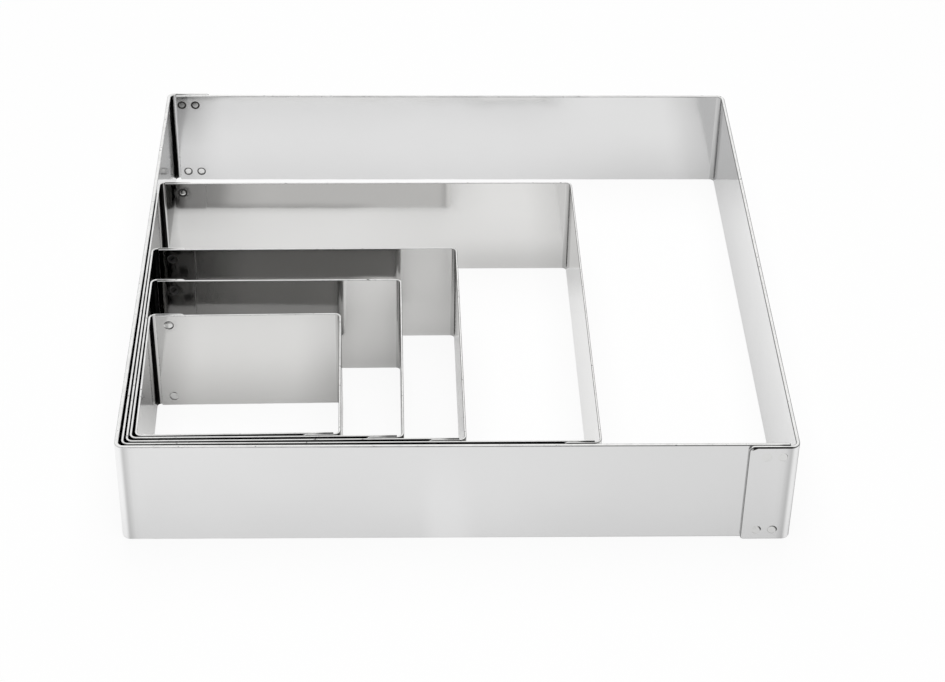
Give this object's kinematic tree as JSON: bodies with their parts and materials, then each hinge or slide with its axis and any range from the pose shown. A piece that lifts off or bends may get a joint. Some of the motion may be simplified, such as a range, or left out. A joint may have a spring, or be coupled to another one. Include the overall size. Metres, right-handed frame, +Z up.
{
  "type": "square pastry ring set",
  "caption": "Nesting set of square open stainless pastry rings, each two bent strips lapped and spot welded at opposite corners, stored one inside the other.",
  "frame": {"origin": "centre of the outer ring on the surface it stands on, at the lower rim", "axes": "+Z up, out of the open top; -Y towards the front wall that carries the outer ring's front lap; the inner rings stand in the -X -Y corner"},
  "size_m": [0.25, 0.253, 0.044],
  "materials": {
    "outer_sheet": "bright smooth stainless sheet, soft mirror reflections",
    "inner_sheet": "bright smooth stainless sheet, soft mirror reflections",
    "weld_marks": "slightly dull, heat darkened spot weld marks"
  },
  "bodies": {
    "outer_ring": {"outer_ring_front_left_strip": "outer_sheet", "outer_ring_rear_right_strip": "outer_sheet", "outer_ring_rear_left_welds": "weld_marks", "outer_ring_front_right_welds": "weld_marks"},
    "second_ring": {"second_ring_front_left_strip": "inner_sheet", "second_ring_rear_right_strip": "inner_sheet", "second_ring_rear_left_welds": "weld_marks", "second_ring_front_right_welds": "weld_marks"},
    "third_ring": {"third_ring_front_left_strip": "inner_sheet", "third_ring_rear_right_strip": "inner_sheet", "third_ring_rear_left_welds": "weld_marks", "third_ring_front_right_welds": "weld_marks"},
    "fourth_ring": {"fourth_ring_front_left_strip": "inner_sheet", "fourth_ring_rear_right_strip": "inner_sheet", "fourth_ring_rear_left_welds": "weld_marks", "fourth_ring_front_right_welds": "weld_marks"},
    "smallest_ring": {"smallest_ring_front_left_strip": "inner_sheet", "smallest_ring_rear_right_strip": "inner_sheet", "smallest_ring_rear_left_welds": "weld_marks", "smallest_ring_front_right_welds": "weld_marks"}
  },
  "joints": [
    {"name": "second_ring_lift", "type": "slide", "parent": "outer_ring", "child": "second_ring", "axis": [0, 0, 1], "range_m": [0, 0.06]},
    {"name": "third_ring_lift", "type": "slide", "parent": "outer_ring", "child": "third_ring", "axis": [0, 0, 1], "range_m": [0, 0.06]},
    {"name": "fourth_ring_lift", "type": "slide", "parent": "outer_ring", "child": "fourth_ring", "axis": [0, 0, 1], "range_m": [0, 0.06]},
    {"name": "smallest_ring_lift", "type": "slide", "parent": "outer_ring", "child": "smallest_ring", "axis": [0, 0, 1], "range_m": [0, 0.06]}
  ]
}
